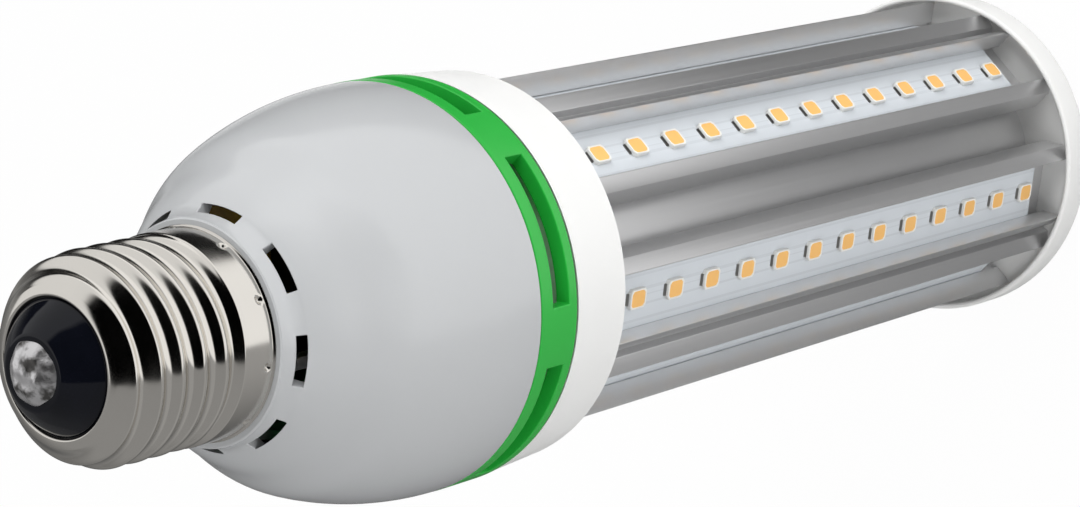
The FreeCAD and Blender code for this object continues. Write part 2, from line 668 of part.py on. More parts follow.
def transformer():
    """A ferrite frame with a window, and the winding that passes through it on both sides."""
    side = S["core_gap"]
    frame = box_on_board("transformer_frame", S["core_x"], S["core_y"], S["core_wide"],
                         S["core_deep"], S["core_high"])
    window = box_on_board("transformer_window", S["core_x"], S["core_y"],
                          S["core_wide"] - side * 2, S["core_deep"] * 2,
                          S["core_high"] - side * 2, side)
    core = doc.addObject("Part::Cut", "transformer_core")
    core.Base = frame
    core.Tool = window
    named(core, "transformer_core")
    slip = S["fit_gap"]
    winding = box_on_board("transformer_winding", S["core_x"], S["core_y"],
                           S["core_wide"] - side * 2 - slip * 2, S["tape_wide"],
                           S["core_high"] - side * 2 - slip, side)
    named(winding, "transformer_winding")


def driver_parts():
    panel = box_on_board("driver_panel", S["panel_inset"] - DRIVE_RADIUS + S["panel_thick"] / 2,
                         size(0), S["panel_thick"], S["panel_wide"], S["panel_high"])
    named(panel, "driver_panel")
    transformer()
    bulk = can_on_board("bulk_capacitor", S["bulk_x"], S["bulk_inset"] - DRIVE_RADIUS,
                        S["bulk_radius"], S["bulk_high"])
    named(bulk, "bulk_capacitor")
    output = can_on_board("output_capacitor", S["output_x"], DRIVE_RADIUS - S["output_inset"],
                          S["output_radius"], S["output_high"])
    named(output, "output_capacitor")
    waist = S["choke_high"] - S["choke_flange"] * 2
    choke_y = S["core_y"] - S["tape_wide"] / 2 - S["choke_gap"] - S["choke_radius"]
    fused("choke", [
        can_on_board("choke_foot", S["choke_x"], choke_y, S["choke_radius"], S["choke_flange"]),
        can_on_board("choke_coil", S["choke_x"], choke_y, S["choke_waist"], waist,
                     S["choke_flange"]),
        can_on_board("choke_head", S["choke_x"], choke_y, S["choke_radius"], S["choke_flange"],
                     S["choke_flange"] + waist),
    ])
    film = box_on_board("film_capacitor", S["film_x"], DRIVE_RADIUS - S["film_inset"],
                        S["film_wide"], S["film_deep"], S["film_high"])
    named(film, "film_capacitor")
    bridge = box_on_board("bridge_rectifier", S["bridge_x"], S["bridge_y"], S["bridge_wide"],
                          S["bridge_deep"], S["bridge_high"])
    named(bridge, "bridge_rectifier")
    fuse = can_on_board("fuse", DRIVE_RADIUS - S["fuse_inset"], S["fuse_y"], S["fuse_radius"],
                        S["fuse_long"])
    named(fuse, "fuse")


def turned(x, y, z, turn):
    """A point given in the driver's turned frame."""
    angle = math.radians(turn)
    return Vector(x * math.cos(angle) - y * math.sin(angle),
                  x * math.sin(angle) + y * math.cos(angle), z)


def round_wire(label, points, radius):
    """Round wire through the points, mitred at its bends."""
    path = Part.makePolygon(points)
    end = Part.Wire([Part.Circle(points[0], points[1] - points[0], radius).toShape()])
    wire = doc.addObject("Part::Feature", label)
    right_corner = 1
    wire.Shape = path.makePipeShell([end], True, True, right_corner)
    return named(wire, label)


# Wires: live from the contact's stem, neutral from the cap's wall, both down to the driver board.
def supply_wires():
    radius = S["wire_radius"].value
    drop = S["wire_drop"].value
    turn = S["drive_angle"].value
    board = DRIVE_TOP.value
    knee = DOME_TOP.value
    live = (S["live_x"].value, S["live_y"].value)
    stem = GLASS_TOP.value - S["contact_stem"].value
    round_wire("live_wire", [
        Vector(0, 0, stem),
        Vector(0, 0, knee + drop),
        turned(live[0], live[1], knee - drop, turn),
        turned(live[0], live[1], board, turn),
    ], radius)
    neutral = (S["neutral_x"].value, S["neutral_y"].value)
    aside = turn + math.degrees(math.atan2(neutral[1], neutral[0]))
    wall = math.sqrt(S["cap_bore"].value ** 2 - radius ** 2)
    inside = S["neck_bore"].value - radius - S["wire_room"].value
    high = THREAD_FOOT.value + S["neutral_high"].value
    round_wire("neutral_wire", [
        turned(wall, 0, high, aside),
        turned(inside, 0, high, aside),
        turned(inside, 0, knee - drop / 3, aside),
        turned(neutral[0], neutral[1], knee - drop * 5 / 3, turn),
        turned(neutral[0], neutral[1], board, turn),
    ], radius)


# Leads and links: two leads drop from the driver to the first and last board, and short links
# run from board to board over their proud ends.
def board_wires():
    middle = FLOOR_HEIGHT.value + S["board_thick"].value / 2
    turns = [turn.value for turn, side in channel_turns()]
    leads = []
    for angle in (turns[0], turns[-1]):
        radius = S["lead_radius"].value
        drop = RING_TOP.value - BOARD_TOP.value
        foot = turned(middle, 0, BOARD_TOP.value, angle)
        leads.append(Part.makeCylinder(radius, drop, foot))
    made = doc.addObject("Part::Feature", "led_leads")
    made.Shape = Part.makeCompound(leads)
    named(made, "led_leads")
    links = []
    inset = S["link_inset_angle"].value
    radius = S["link_radius"].value
    high = BOARD_TOP.value + radius
    for start, end in zip(turns, turns[1:]):
        first = turned(middle, 0, high, start + inset)
        last = turned(middle, 0, high, end - inset)
        links.append(Part.makeCylinder(radius, (last - first).Length, first, last - first))
    made = doc.addObject("Part::Feature", "board_links")
    made.Shape = Part.makeCompound(links)
    named(made, "board_links")


centre_contact()
glass_insulator()
screw_shell()
driver_housing()
vent_ring()
collar()
heat_sink()
end_cap()
screw_ring("end_screws", S["screw_recess"], -1)
screw_ring("collar_screws", COLLAR_TOP, 1)
for number, (face_turn, led_side) in enumerate(channel_turns(), start=1):
    led_board(number, face_turn)
    led_row(number, face_turn, led_side)
driver_board()
driver_parts()
supply_wires()
board_wires()
doc.recompute()

broken = [thing.Name for thing in doc.Objects if "Invalid" in thing.State or "Error" in thing.State]
empty = [thing.Label for thing in NODES if thing.Shape.isNull() or not thing.Shape.isValid()]
if broken or empty:
    raise RuntimeError("objects that failed: %s, shapes that failed: %s" % (broken, empty))

os.makedirs("parts", exist_ok=True)
for thing in NODES:
    thing.Shape.exportStep(os.path.join("parts", thing.Label + ".step"))
    print(thing.Label, len(thing.Shape.Solids), round(thing.Shape.Volume, 1))
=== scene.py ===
import math

import bmesh
import bpy
import numpy as np
from bpy.props import FloatProperty, FloatVectorProperty, IntProperty, PointerProperty
from bpy.types import Operator, Panel, PropertyGroup
from mathutils import Matrix, Vector


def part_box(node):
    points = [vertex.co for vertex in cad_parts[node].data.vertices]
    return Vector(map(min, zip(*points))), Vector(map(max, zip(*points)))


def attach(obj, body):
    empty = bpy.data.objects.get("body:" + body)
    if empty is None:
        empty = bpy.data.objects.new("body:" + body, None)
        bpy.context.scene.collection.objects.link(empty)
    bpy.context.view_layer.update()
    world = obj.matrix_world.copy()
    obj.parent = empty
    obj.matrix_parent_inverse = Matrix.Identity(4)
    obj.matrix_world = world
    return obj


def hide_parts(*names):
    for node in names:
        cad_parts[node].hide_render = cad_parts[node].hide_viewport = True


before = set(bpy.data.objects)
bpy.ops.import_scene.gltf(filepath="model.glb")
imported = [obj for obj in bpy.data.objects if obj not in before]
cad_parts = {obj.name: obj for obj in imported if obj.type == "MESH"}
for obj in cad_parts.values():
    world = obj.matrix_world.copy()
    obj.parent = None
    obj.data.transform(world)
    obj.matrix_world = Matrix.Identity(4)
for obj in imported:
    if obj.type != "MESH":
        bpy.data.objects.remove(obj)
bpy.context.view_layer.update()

bl_info = {
    "name": "Corn bulb studio",
    "version": (1, 0, 0),
    "blender": (4, 5, 0),
    "location": "View3D > Sidebar > Corn bulb",
    "description": "Dresses the corn bulb's frame with smooth skins, finishes, lamps and a camera",
    "category": "Object",
}

FULL_TURN = 2 * math.pi
FINISH = {}


def box_low(node):
    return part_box(node)[0].z


def box_high(node):
    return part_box(node)[1].z


def box_reach(node):
    """How far a round node reaches from the bulb's axis."""
    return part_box(node)[1].x


CAP_FOOT = box_low("screw_shell")
CAP_TOP = box_high("screw_shell")
GLASS_TOP = box_high("glass_insulator")
CONTACT_TOP = box_high("centre_contact")
RING_TOP = box_low("driver_housing")
SPIGOT_TOP = box_high("driver_housing")
COLLAR_TOP = box_low("vent_ring")
COLLAR_FOOT = box_low("collar")
SINK_FOOT = box_low("heat_sink")
SINK_TOP = box_high("heat_sink")


def metres(name, description, default):
    return FloatProperty(name=name, description=description, default=default, unit="LENGTH",
                         precision=6)


def degrees(name, description, default):
    return FloatProperty(name=name, description=description, default=math.radians(default),
                         subtype="ANGLE")


def amount(name, description, default):
    return FloatProperty(name=name, description=description, default=default)


def tint(name, description, default):
    return FloatVectorProperty(name=name, description=description, default=default, size=3,
                               subtype="COLOR")


def vector(name, description, default):
    return FloatVectorProperty(name=name, description=description, default=default, size=3,
                               precision=6)


class BulbSizes(PropertyGroup):
    """Sizes of the bulb's outer pieces, in metres."""

    thread_crest: metres("Thread crest", "Radius over the screw cap's thread", 0.0131)
    thread_root: metres("Thread root", "Radius at the bottom of the thread", 0.01215)
    thread_pitch: metres("Thread pitch", "Rise of the thread in one turn", 0.003629)
    thread_phase: degrees("Thread phase", "Turn of the thread's start about the axis", 190.8)
    lead_in: metres("Thread lead-in", "How far the turns close up on the shoulder", 0.0016)
    shoulder_drop: metres("Shoulder drop", "How far the shoulder draws in at the top", 0.00375)
    shoulder_length: metres("Shoulder length", "Length over which the shoulder draws in", 0.0070)
    skirt_radius: metres("Skirt radius", "Radius of the cap's plain skirt", 0.0132)
    skirt_top: metres("Skirt height", "Height of the plain skirt over the cap's foot", 0.0054)
    mouth_radius: metres("Cap mouth", "Radius of the hole that the glass fills", 0.0084)
    dimple_depth: metres("Dimple depth", "Depth of the punched marks in the skirt", 0.00045)
    dimples: IntProperty(name="Dimples", description="Punched marks round the skirt", default=10)
    crown_arc: metres("Crown arc", "Radius of the dome's lower arc", 0.0552)
    crown_rise: metres("Crown rise", "Height of the dome's lower arc", 0.020)
    shoulder_arc: metres("Shoulder arc", "Radius of the dome's upper arc", 0.0257)
    shoulder_flat: metres("Shoulder flat", "How far the dome's shoulder is drawn in", 0.00065)
    flat_height: metres("Flat height", "Height of the drawn in shoulder over the ring", 0.0255)
    dome_wall: metres("Dome wall", "Wall of the housing", 0.0018)
    neck_radius: metres("Neck radius", "Radius at the top of the neck ring", 0.0142)
    neck_foot: metres("Neck foot", "Radius where the dome ends and the neck ring starts", 0.01545)
    window_inner: metres("Window inner radius", "Edge of the vent windows at the neck", 0.0143)
    window_under: metres("Window under radius", "Edge of the vent windows under the neck", 0.0128)
    window_outer: metres("Window outer radius", "Edge of the vent windows on the dome", 0.0155)
    window_sweep: degrees("Window sweep", "Angle that a vent window spans", 24.5)
    window_start: degrees("First window", "Direction of the first vent window", 18.8)
    slot_low: metres("Slot foot", "Foot of the ring's slots over the collar", 0.0020)
    slot_high: metres("Slot height", "Height of the ring's slots", 0.0033)
    slot_sweep: degrees("Slot sweep", "Angle that a slot spans", 43.0)
    slot_start: degrees("First slot", "Direction of the first slot", 33.8)
    pair_start: degrees("First pair", "Direction of the slit in the first pair of channels", 45.0)
    channel_turn: degrees("Channel turn", "Angle between the two channels of a pair", 35.8)
    led_pitch: metres("Diode pitch", "Distance between diodes along a board", 0.00851)


class BulbColours(PropertyGroup):
    """Colours of the bulb's finishes."""

    nickel: tint("Nickel", "Plated screw cap", (0.80, 0.77, 0.72))
    dome: tint("Dome", "Driver housing", (0.465, 0.475, 0.485))
    green: tint("Green", "Vent ring", (0.018, 0.40, 0.045))
    white: tint("White", "Collar and end cap", (0.81, 0.81, 0.80))
    aluminium: tint("Aluminium", "Heat sink", (0.80, 0.80, 0.805))
    board: tint("Board", "Diode boards", (0.69, 0.73, 0.77))
    phosphor: tint("Phosphor", "Window of a diode", (1.0, 0.54, 0.16))


class StudioSettings(PropertyGroup):
    """Camera, lamps and floor."""

    camera_place: vector("Camera place", "Where the camera stands",
                         (-0.007475, -0.286990, 0.459424))
    camera_way: vector("Camera way", "Direction the camera looks in",
                       (0.015218, 0.632981, -0.774018))
    camera_up: vector("Camera up", "Direction of the picture's top",
                      (0.966086, -0.208875, -0.151821))
    lens: amount("Lens", "Focal length in mm on a 36 mm wide sensor", 110.304)
    key_power: amount("Key power", "Watts of the lamp on the picture's upper side", 5.1)
    fill_power: amount("Fill power", "Watts of the lamp on the picture's lower side", 2.9)
    side_power: amount("Side power", "Watts of the lamp on the picture's right", 2.5)
    rim_power: amount("Rim power", "Watts of the lamp behind the picture's left side", 2.2)
    top_power: amount("Top power", "Watts of the lamp over the screw cap", 0.6)
    room_light: amount("Room light", "Strength of the soft light from behind the bulb", 0.85)
    floor_shadow: amount("Floor shadow", "Share of its shading that the floor keeps", 0.04)


# Meshes from whole arrays


def grid_quads(rows, columns, wrap_rows=False, wrap_columns=False, keep=None):
    """Quads between neighbours on a grid of points numbered row by row; keep masks them."""
    row, column = np.meshgrid(
        np.arange(rows if wrap_rows else rows - 1),
        np.arange(columns if wrap_columns else columns - 1), indexing="ij")
    next_row = (row + 1) % rows
    next_column = (column + 1) % columns
    quads = np.stack([
        row * columns + column, row * columns + next_column,
        next_row * columns + next_column, next_row * columns + column], axis=-1)
    if keep is not None:
        quads = quads[keep]
    return quads.reshape(-1, 4)


def stand(name, data):
    """A new object with its data, put in the scene."""
    made = bpy.data.objects.new(name, data)
    bpy.context.scene.collection.objects.link(made)
    return made


def make_piece(part, points, faces, finishes, corner=30.0, tidy=False):
    """Put points (n, 3) and lists of faces (m, k) into a mesh that stands for a CAD node."""
    mesh = bpy.data.meshes.new(part + "_skin")
    loops = np.concatenate([face.ravel() for face in faces]).astype(np.int32)
    sides = np.concatenate([np.full(len(face), face.shape[1]) for face in faces])
    starts = np.concatenate([[0], np.cumsum(sides)[:-1]]).astype(np.int32)
    mesh.vertices.add(len(points))
    mesh.vertices.foreach_set("co", np.asarray(points, np.float32).ravel())
    mesh.loops.add(len(loops))
    mesh.loops.foreach_set("vertex_index", loops)
    mesh.polygons.add(len(sides))
    mesh.polygons.foreach_set("loop_start", starts)
    mesh.update(calc_edges=True)
    mesh.validate()
    if tidy:
        work = bmesh.new()
        work.from_mesh(mesh)
        bmesh.ops.remove_doubles(work, verts=work.verts, dist=1e-7)
        bmesh.ops.recalc_face_normals(work, faces=work.faces)
        work.to_mesh(mesh)
        work.free()
    mesh.shade_smooth()
    mesh.set_sharp_from_angle(angle=math.radians(corner))
    piece = stand(part + "_skin", mesh)
    for finish in finishes:
        mesh.materials.append(FINISH[finish])
    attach(piece, "root")
    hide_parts(part)
    return piece


def soften(piece, width, segments=2):
    """Round a piece's edges of more than 50 degrees with a small bevel."""
    bevel = piece.modifiers.new("edges", "BEVEL")
    bevel.width = width
    bevel.segments = segments
    bevel.limit_method = "ANGLE"
    bevel.angle_limit = math.radians(50.0)
    bevel.harden_normals = True


def arc(centre, radius, start, end, count):
    """Points on an arc in the section plane: centre + radius (cos a, sin a) from start to end."""
    angle = np.linspace(start, end, count)
    return np.stack([centre[0] + radius * np.cos(angle), centre[1] + radius * np.sin(angle)], -1)


def rounded(corners, radii, steps=4):
    """Closed outline with each corner swapped for an arc that is tangent to its two sides.

    The cut back along each side is r / tan(half the inner angle), and the arc's centre lies on
    the inner angle's halving line. Of points at one place, as at a corner of radius 0, one stays.
    """
    before = np.roll(corners, 1, axis=0) - corners
    after = np.roll(corners, -1, axis=0) - corners
    before /= np.linalg.norm(before, axis=1)[:, None]
    after /= np.linalg.norm(after, axis=1)[:, None]
    half = np.arccos(np.clip((before * after).sum(1), -1, 1)) / 2
    radii = np.asarray(radii, float)
    middle = before + after
    middle /= np.linalg.norm(middle, axis=1)[:, None]
    centre = corners + middle * (radii / np.sin(half))[:, None]
    cut = (radii / np.tan(half))[:, None]
    first = corners + before * cut - centre
    last = corners + after * cut - centre
    sweep = math.pi - 2 * half
    share = np.linspace(0, 1, steps + 1)[None, :]
    turn = np.sin(sweep)[:, None]
    ahead = np.sin((1 - share) * sweep[:, None]) / turn
    behind = np.sin(share * sweep[:, None]) / turn
    whole = (centre[:, None] + ahead[..., None] * first[:, None]
             + behind[..., None] * last[:, None]).reshape(-1, 2)
    apart = np.linalg.norm(whole - np.roll(whole, 1, axis=0), axis=1) > 1e-8
    return whole[apart]


def turn_section(section, angles):
    """Revolve section points (radius, height) through the angles: (r cos a, r sin a, h)."""
    radius, height = section[:, :1], section[:, 1:]
    return np.stack([
        radius * np.cos(angles)[None], radius * np.sin(angles)[None],
        height + 0 * angles[None]], axis=-1)


def even_angles(count):
    return np.arange(count) * FULL_TURN / count


def spun(along, across, turn):
    """Two coordinates in a plane, turned by an angle."""
    return (along * math.cos(turn) - across * math.sin(turn),
            along * math.sin(turn) + across * math.cos(turn))


def lifted(outline, height):
    """Points (n, 2) with a third coordinate."""
    return np.concatenate([outline, np.full((len(outline), 1), height)], axis=1)


def broken_angles(start, sweep, count, inside, between):
    """Angles round the axis with exact breaks at both edges of `count` equal openings.

    Returns the angles and a mask of the columns whose quad lies in an opening.
    """
    pitch = FULL_TURN / count
    opening = start - sweep / 2 + np.arange(inside) * sweep / inside
    rest = start + sweep / 2 + np.arange(between) * (pitch - sweep) / between
    one = np.concatenate([opening, rest])
    angles = (one[None] + np.arange(count)[:, None] * pitch).ravel()
    mask = np.tile(np.arange(inside + between) < inside, count)
    return angles, mask


def pierced_ring(section, outer, inner, angles, mask):
    """Closed turned section with openings through its wall.

    outer and inner are the first and last rows of the opening on the two faces of the wall; both
    faces have as many rows, in opposite order. The rows between them lose their quads where the
    mask is set, and walls join the two faces round each opening.
    """
    rows, columns = len(section), len(angles)
    points = turn_section(section, angles).reshape(-1, 3)
    keep = np.ones((rows, columns), bool)
    keep[outer[0]:outer[1]] = ~mask[None]
    keep[inner[0]:inner[1]] = ~mask[None]
    faces = [grid_quads(rows, columns, True, True, keep)]
    up = np.arange(outer[0], outer[1])
    down = inner[1] - (up - outer[0])
    opens = np.flatnonzero(mask & ~np.roll(mask, 1))
    closes = np.flatnonzero(~mask & np.roll(mask, 1))
    for edge in (opens, closes):
        side = [row[:, None] * columns + edge for row in (up, up + 1, down - 1, down)]
        faces.append(np.stack(side, axis=-1).reshape(-1, 4))
    across = np.flatnonzero(mask)
    after = (across + 1) % columns
    for top, bottom in ((outer[0], inner[1]), (outer[1], inner[0])):
        faces.append(np.stack([
            top * columns + across, top * columns + after,
            bottom * columns + after, bottom * columns + across], axis=-1))
    return points, faces


def turned_piece(part, section, columns, finishes, corner, tidy=False):
    """A closed section turned all the way round the axis."""
    points = turn_section(section, even_angles(columns)).reshape(-1, 3)
    faces = [grid_quads(len(section), columns, True, True)]
    return make_piece(part, points, faces, finishes, corner, tidy)


def disc_faces(rows, columns, pole_first=False, pole_last=False):
    """Quads of a turned open section, with fans to a pole point kept after the grid's points."""
    faces = [grid_quads(rows, columns, False, True)]
    column = np.arange(columns)
    after = (column + 1) % columns
    pole = rows * columns
    if pole_first:
        faces.append(np.stack([np.full(columns, pole), after, column], axis=-1))
        pole += 1
    if pole_last:
        last = (rows - 1) * columns
        faces.append(np.stack([last + column, last + after, np.full(columns, pole)], axis=-1))
    return faces


# Finishes


def fill(tree, made, inputs):
    """Set inputs by name or number: a socket is linked, anything else is the input's value."""
    for key, value in inputs.items():
        if isinstance(value, bpy.types.NodeSocket):
            tree.links.new(value, made.inputs[key])
        else:
            made.inputs[key].default_value = value


def node(tree, kind, inputs, **fields):
    """A shader node with its fields and then its inputs set."""
    made = tree.nodes.new(kind)
    for key, value in fields.items():
        setattr(made, key, value)
    fill(tree, made, inputs)
    return made


def start_finish(name, colour, rough, metal=0.0):
    """A new material, its tree and its Principled shader."""
    material = bpy.data.materials.new(name)
    material.use_nodes = True
    tree = material.node_tree
    shader = tree.nodes["Principled BSDF"]
    fill(tree, shader, {"Base Color": (*colour, 1), "Roughness": rough, "Metallic": metal})
    return material, tree, shader


def place_of(tree, scale):
    """Object coordinates, stretched along the axes."""
    here = node(tree, "ShaderNodeTexCoord", {}).outputs["Object"]
    return node(tree, "ShaderNodeMapping", {"Scale": scale, "Vector": here}).outputs["Vector"]


def noise(tree, scale, detail=3.0, rough=0.55, stretch=(1, 1, 1)):
    return node(tree, "ShaderNodeTexNoise", {
        "Scale": scale, "Detail": detail, "Roughness": rough,
        "Vector": place_of(tree, stretch)}).outputs["Fac"]


def remap(tree, value, low, high, to_low, to_high):
    """The value's range low to high, clipped and spread over to_low to to_high."""
    return node(tree, "ShaderNodeMapRange", {
        "From Min": low, "From Max": high, "To Min": to_low, "To Max": to_high,
        "Value": value}).outputs["Result"]


def blend_colours(tree, factor, one, other):
    return node(tree, "ShaderNodeMix", {
        "A": (*one, 1), "B": (*other, 1), "Factor": factor}, data_type="RGBA").outputs["Result"]


def bump(tree, shader, height, strength, distance=0.0001):
    made = node(tree, "ShaderNodeBump", {
        "Strength": strength, "Distance": distance, "Height": height})
    fill(tree, shader, {"Normal": made.outputs["Normal"]})


def shade(colour, factor):
    return tuple(min(1.0, part * factor) for part in colour)


def shades(tree, factor, colour, low, high):
    """One colour from its darker to its lighter shade."""
    return blend_colours(tree, factor, shade(colour, low), shade(colour, high))


def moulded(name, colour, rough, spread=0.04, coat=0.0, grain=2500.0, relief=0.05, uneven=0.15):
    """Moulded plastic: a cloudy colour, an uneven gloss and a fine skin."""
    material, tree, shader = start_finish(name, colour, rough)
    cloud = noise(tree, 45.0)
    gloss = noise(tree, 160.0)
    fill(tree, shader, {
        "Base Color": shades(tree, cloud, colour, 1 - spread, 1 + spread),
        "Roughness": remap(tree, gloss, 0.3, 0.7, rough * (1 - uneven), rough * (1 + uneven))})
    bump(tree, shader, noise(tree, grain, 2.0), relief)
    if coat:
        fill(tree, shader, {"Coat Weight": coat, "Coat Roughness": 0.06})
    return material


def drawn_metal(name, colour, rough, stretch, spread=0.06, relief=0.08, metal=1.0):
    """Drawn or brushed metal: streaks along the way that the scale stretches least."""
    material, tree, shader = start_finish(name, colour, rough, metal)
    streaks = noise(tree, 1.0, 4.0, 0.6, stretch)
    fill(tree, shader, {
        "Base Color": shades(tree, streaks, colour, 1 - spread, 1 + spread),
        "Roughness": remap(tree, streaks, 0.3, 0.7, rough * 0.85, rough * 1.15)})
    bump(tree, shader, streaks, relief)
    return material


def nickel_plate(colour):
    """Bright nickel with a warm cast, faint smears and fine scratches round the shell."""
    material, tree, shader = start_finish("nickel_plate", colour, 0.12, 1.0)
    smears = noise(tree, 90.0)
    fill(tree, shader, {"Base Color": shades(tree, smears, colour, 0.90, 1.04),
                        "Roughness": remap(tree, smears, 0.3, 0.7, 0.08, 0.2)})
    bump(tree, shader, noise(tree, 1.0, stretch=(300, 300, 5000)), 0.04)
    return material


def black_glass():
    """Poured black glass with slight waves in its skin."""
    material, tree, shader = start_finish("black_glass", (0.006, 0.007, 0.012), 0.06)
    waves = noise(tree, 260.0, 2.0)
    fill(tree, shader, {
        "Base Color": blend_colours(tree, waves, (0.002, 0.0025, 0.004), (0.004, 0.0045, 0.008)),
        "Specular IOR Level": 0.3})
    bump(tree, shader, waves, 0.25, 0.0002)
    return material


def solder_tin():
    """Tinned solder: dull grey patches beside bright ones and small pits."""
    material, tree, shader = start_finish("solder_tin", (0.62, 0.61, 0.60), 0.3, 1.0)
    patches = noise(tree, 420.0)
    sharper = remap(tree, patches, 0.32, 0.46, 0.0, 1.0)
    fill(tree, shader, {
        "Base Color": blend_colours(tree, sharper, (0.16, 0.155, 0.15), (0.86, 0.85, 0.86)),
        "Roughness": remap(tree, patches, 0.3, 0.7, 0.5, 0.36)})
    bump(tree, shader, noise(tree, 1100.0), 0.35, 0.0003)
    return material


def printed_board(name, colour, gloss):
    """Solder resist over copper: tracks show as faint broad steps under the lacquer."""
    material, tree, shader = start_finish(name, colour, gloss)
    tracks = node(tree, "ShaderNodeTexBrick", {
        "Scale": 1.0, "Mortar Size": 0.02, "Color1": (*colour, 1),
        "Color2": (*shade(colour, 1.03), 1), "Mortar": (*shade(colour, 0.93), 1),
        "Vector": place_of(tree, (260, 260, 235))}, offset=0.5)
    fill(tree, shader, {"Base Color": tracks.outputs["Color"], "Coat Weight": 0.3,
                        "Coat Roughness": 0.15})
    bump(tree, shader, noise(tree, 900.0, 2.0), 0.06)
    return material


def make_finishes(colours):
    """All finishes by name."""
    return {
        "nickel": nickel_plate(colours.nickel),
        "glass": black_glass(),
        "solder": solder_tin(),
        "dome": moulded("dome_white", colours.dome, 0.22, 0.006, 0.4, 2500.0, 0.02, 0.03),
        "green": moulded("ring_green", colours.green, 0.34, 0.05, 0.15),
        "collar": moulded("collar_white", colours.white, 0.42, 0.015),
        "end": moulded("end_white", colours.white, 0.4, 0.015),
        "sink": drawn_metal("drawn_aluminium", colours.aluminium, 0.35, (5000, 5000, 9), 0.03,
                            0.008, 0.88),
        "steel": drawn_metal("screw_steel", (0.55, 0.55, 0.56), 0.3, (900, 900, 900)),
        "board": printed_board("board_lacquer", colours.board, 0.35),
        "package": moulded("diode_package", (0.86, 0.85, 0.82), 0.35, 0.02),
        "phosphor": moulded("diode_phosphor", colours.phosphor, 0.5, 0.06, 0.2, 4000.0, 0.2),
        "terminal": drawn_metal("diode_terminal", (0.55, 0.54, 0.52), 0.35, (2000, 2000, 2000)),
        "driver_board": printed_board("driver_lacquer", (0.02, 0.16, 0.05), 0.35),
        "tape": moulded("core_tape", (0.80, 0.50, 0.03), 0.4, 0.08),
        "sleeve": moulded("can_sleeve", (0.02, 0.02, 0.03), 0.3, 0.2),
        "film": moulded("dipped_film", (0.28, 0.09, 0.02), 0.3, 0.15, 0.4),
        "black": moulded("black_moulding", (0.02, 0.02, 0.02), 0.45, 0.2),
        "copper": drawn_metal("enamelled_copper", (0.60, 0.26, 0.10), 0.3, (300, 300, 6000)),
        "sheath": moulded("wire_sheath", (0.75, 0.75, 0.75), 0.5, 0.03),
    }


# Pieces


def thread_rows(sizes):
    """Rows of the shell's section: (radius, height, share of the thread's wave).

    The shoulder draws in towards the top by drop * (1 - depth / length) ^ 3.
    """
    wall, bore, shoulder_bore = 0.0006, 0.0112, 0.0104
    skirt_rows, wave_rows = 34, 150
    pitch = sizes.thread_pitch
    half = (sizes.thread_crest - sizes.thread_root) / 2
    mouth = sizes.mouth_radius
    skirt_top = CAP_FOOT + sizes.skirt_top
    wave_top = CAP_TOP - 0.0003
    rim = np.array([
        [-wall, 0.0], [0.00010, 0.0], [0.00022, 0.00004], [0.00026, 0.00012], [0.00020, 0.00021],
        [0.00006, 0.00028], [0.00001, 0.00038]]) + [sizes.skirt_radius, CAP_FOOT]
    skirt = np.linspace(CAP_FOOT + 0.0005, skirt_top - 0.12 * pitch, skirt_rows)
    skirt = np.stack([np.full(skirt_rows, sizes.skirt_radius), skirt], -1)
    height = np.linspace(skirt_top - 0.08 * pitch, wave_top, wave_rows)
    rise = np.clip((height - skirt_top + 0.08 * pitch) / (0.35 * pitch), 0, 1)
    fall = np.clip((wave_top - height) / (0.6 * pitch), 0, 1)
    drop = np.clip(1 - (CAP_TOP - height) / sizes.shoulder_length, 0, 1) ** 3
    middle = sizes.thread_crest - half * (0.3 + 0.7 * fall) - sizes.shoulder_drop * drop
    wave = np.stack([middle + (sizes.skirt_radius - middle) * (1 - rise) ** 2, height], -1)
    inside = np.array([
        [mouth + 0.00055, CAP_TOP - 0.00008], [mouth + 0.00030, CAP_TOP],
        [mouth + 0.00010, CAP_TOP - 0.00008], [mouth, wave_top], [mouth, CAP_TOP - wall],
        [shoulder_bore, CAP_TOP - 0.0027], [bore, CAP_TOP - 0.0050], [bore, skirt_top],
        [sizes.skirt_radius - wall, skirt_top - wall]])
    rows = np.concatenate([rim, skirt, wave, inside])
    share = np.zeros(len(rows))
    first = len(rim) + skirt_rows
    share[first:first + wave_rows] = rise * rise * (3 - 2 * rise) * fall
    return rows, share


